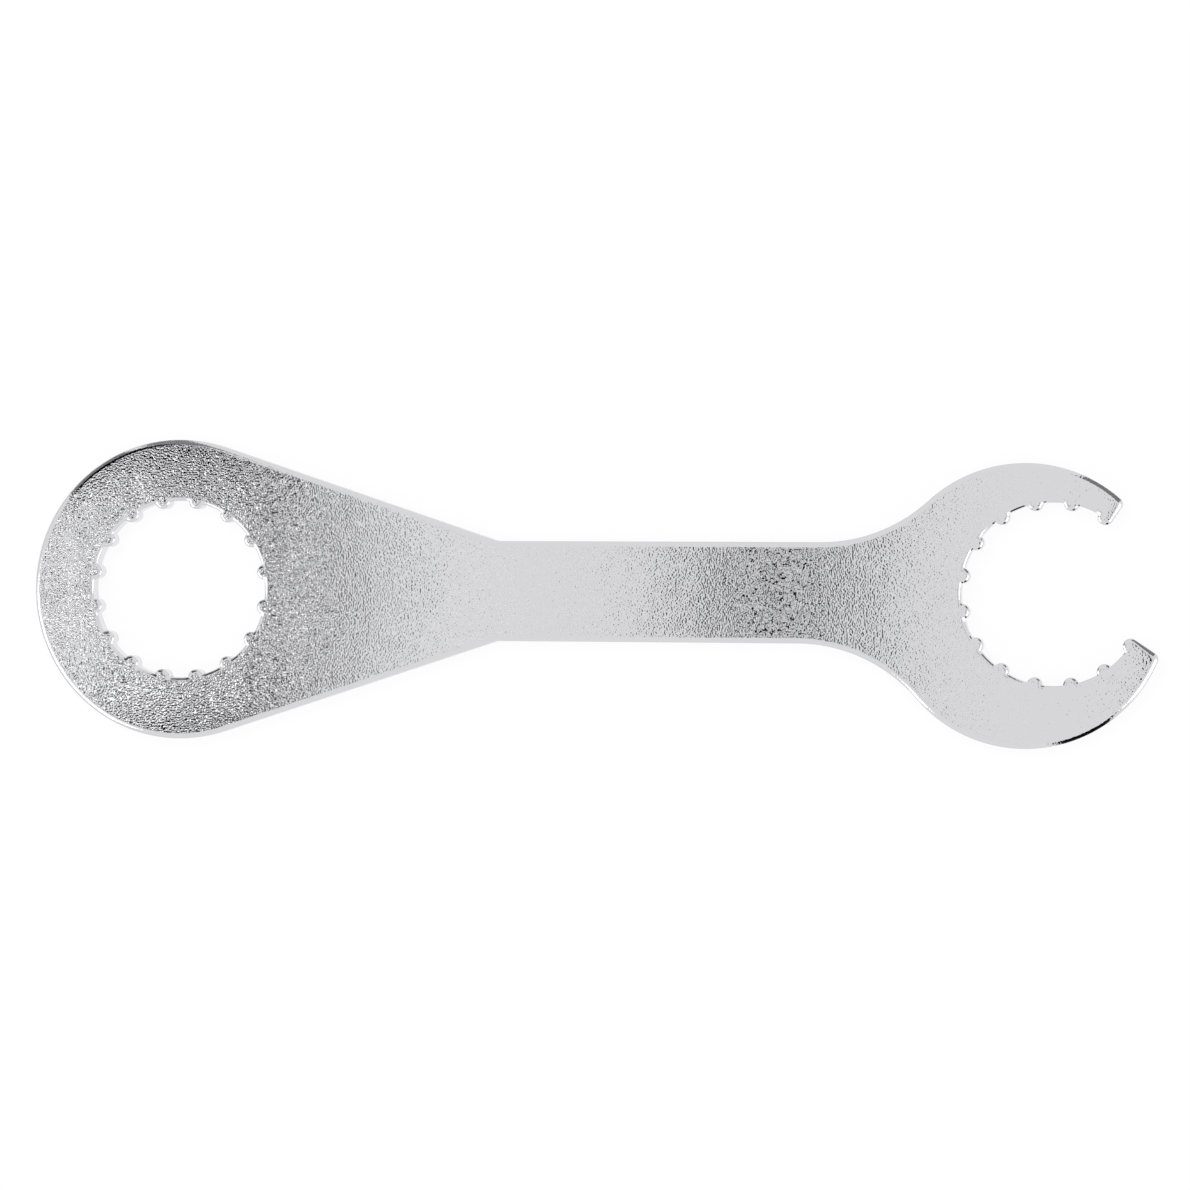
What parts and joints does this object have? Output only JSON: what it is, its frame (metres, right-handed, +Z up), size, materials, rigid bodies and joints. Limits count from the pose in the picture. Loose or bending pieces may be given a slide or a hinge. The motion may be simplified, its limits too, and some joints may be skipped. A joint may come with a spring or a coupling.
{
  "type": "bottom bracket tool",
  "caption": "Flat steel plate wrench for notched bottom bracket cups, with a closed toothed ring at one end and an open toothed jaw at the other.",
  "frame": {"origin": "centre of the overall box, on the underside that the plate rests on", "axes": "+X from the closed ring towards the open jaw, +Z up out of the face whose edges are rounded over"},
  "size_m": [0.2834, 0.0756, 0.0045],
  "materials": {
    "plated_steel": "bright plated steel with a fine orange-peel texture"
  },
  "bodies": {
    "root": {"wrench_plate": "plated_steel"}
  },
  "joints": []
}
